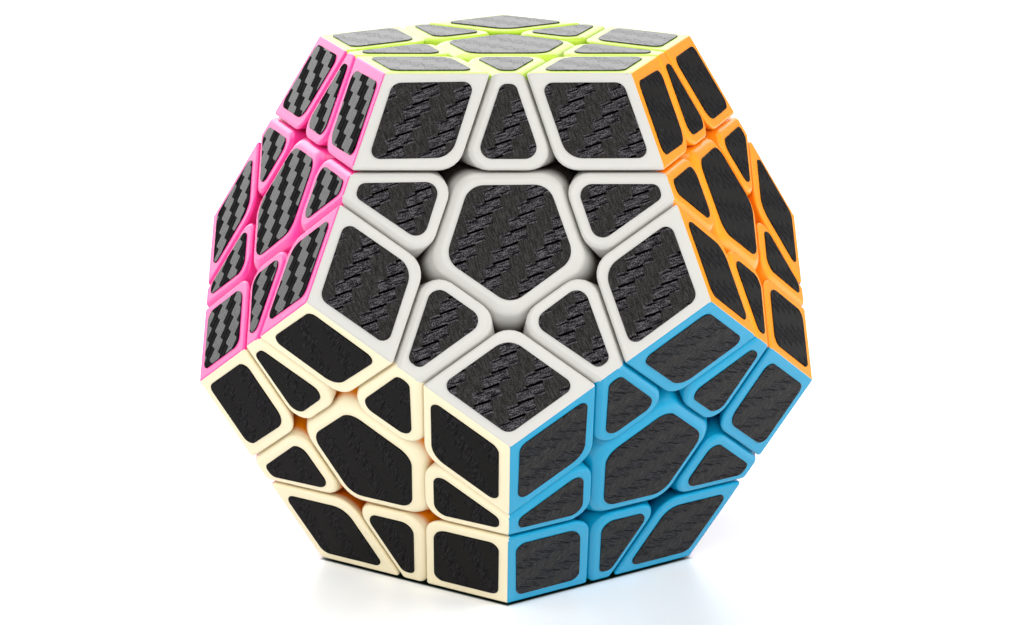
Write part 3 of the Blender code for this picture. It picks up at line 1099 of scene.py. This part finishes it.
def beyond_base(tree, spot):
    """Distance outside the pentagon that the puzzle stands on, in metres."""
    headings = [ring_normal(heading, 0.0) for heading in LOWER_RING.values()]
    reach = dot_product(tree, spot, headings[0])
    for direction in headings[1:]:
        reach = reach.math("MAXIMUM", dot_product(tree, spot, direction))
    return reach - BASE_INRADIUS


def build_floor():
    mesh = bpy.data.meshes.new("floor")
    half = FLOOR_SIZE / 2
    shape = bmesh.new()
    spots = [(-half, -half), (half, -half), (half, half), (-half, half)]
    shape.faces.new([shape.verts.new((x, y, CAD_BOX[0].z - FLOOR_GAP)) for x, y in spots])
    shape.to_mesh(mesh)
    shape.free()
    material, tree, shader = new_material("floor")
    spot = tree.nodes.new("ShaderNodeTexCoord").outputs["Object"]
    length = tree.nodes.new("ShaderNodeVectorMath")
    length.operation = "LENGTH"
    tree.links.new(spot, length.inputs[0])
    sheet = Field(tree, length.outputs["Value"]).ramp(SHEET_END, SHEET_START)
    cloud = noise(tree, spot, 3.0)
    white = choose(tree, cloud, linear((246, 249, 252)), linear((250, 251, 252)))
    beyond = beyond_base(tree, spot)
    table = choose(tree, sheet, linear((60, 60, 62)), white)
    # painted shadow: under the puzzle's footprint the floor is painted dark green, a contact
    # shadow tinted like light bounced from the green face
    tree.links.new(choose(tree, beyond.ramp(-0.0003, 0.0003), linear((4, 26, 16)), table),
                   shader.inputs["Base Color"])
    shader.inputs["Roughness"].default_value = 0.35
    shader.inputs["Specular IOR Level"].default_value = 0.3
    shader.inputs["Emission Color"].default_value = (1.0, 1.0, 1.0, 1.0)
    # painted light: the floor glows faintly over the white sheet and more within 25 mm of the
    # base, a painted pool of light; there is no glow under the footprint
    lit = (beyond.ramp(0.025, 0.0) * 0.14 + 0.06) * beyond.ramp(0.0, 0.0012) * sheet
    tree.links.new(lit.socket, shader.inputs["Emission Strength"])
    mesh.materials.append(material)
    floor = bpy.data.objects.new("floor", mesh)
    bpy.context.scene.collection.objects.link(floor)


def build_camera():
    data = bpy.data.cameras.new("camera")
    data.sensor_width = 36.0
    data.lens = CAMERA_LENS
    data.clip_start = 0.01
    data.clip_end = 50.0
    camera = bpy.data.objects.new("camera", data)
    bpy.context.scene.collection.objects.link(camera)
    forward = CAMERA_FORWARD.normalized()
    right = (CAMERA_RIGHT - forward * forward.dot(CAMERA_RIGHT)).normalized()
    turn = Matrix((right, right.cross(forward), -forward)).transposed()
    camera.matrix_world = Matrix.Translation(CAMERA_PLACE) @ turn.to_4x4()
    bpy.context.scene.camera = camera


def softbox(name, heading, elevation, distance, size, power, in_gloss):
    """A square area light that faces the middle of the puzzle."""
    data = bpy.data.lights.new(name, "AREA")
    data.shape = "SQUARE"
    data.size = size
    data.energy = power
    turn, rise = math.radians(heading), math.radians(elevation)
    out = Vector((math.cos(rise) * math.cos(turn), math.cos(rise) * math.sin(turn),
                  math.sin(rise)))
    lamp = bpy.data.objects.new(name, data)
    bpy.context.scene.collection.objects.link(lamp)
    lamp.location = MIDDLE + out * distance
    lamp.rotation_euler = out.to_track_quat("Z", "Y").to_euler()
    lamp.visible_glossy = in_gloss


def build_world():
    """White where the camera sees it; a dim room with three bright patches for the light."""
    world = bpy.data.worlds.new("room")
    bpy.context.scene.world = world
    world.use_nodes = True
    tree = world.node_tree
    backdrop = tree.nodes["Background"]
    way = tree.nodes.new("ShaderNodeTexCoord").outputs["Generated"]
    behind = dot_product(tree, way, (-0.08, 1.0, 0.32)).ramp(0.84, 0.95)
    left = dot_product(tree, way, (-0.8, 0.6, 0.1)).ramp(0.6, 0.9)
    front = dot_product(tree, way, (0.0, -0.75, 0.66)).ramp(0.82, 0.97)
    level = behind * PATCH_BEHIND + left * PATCH_LEFT + front * PATCH_FRONT + ROOM_DIM
    seen = tree.nodes.new("ShaderNodeLightPath")
    direct = Field(tree, seen.outputs["Is Camera Ray"])
    strength = direct + direct.flipped() * level
    tree.links.new(strength.socket, backdrop.inputs["Strength"])
    backdrop.inputs["Color"].default_value = (1.0, 1.0, 1.0, 1.0)


def build_stage():
    build_floor()
    build_camera()
    build_world()
    for name, setting in LIGHTS.items():
        softbox(name, *setting)
    bpy.context.scene.view_settings.view_transform = "Standard"
    bpy.context.scene.view_settings.look = "None"


build_core(build_pieces())
build_stage()
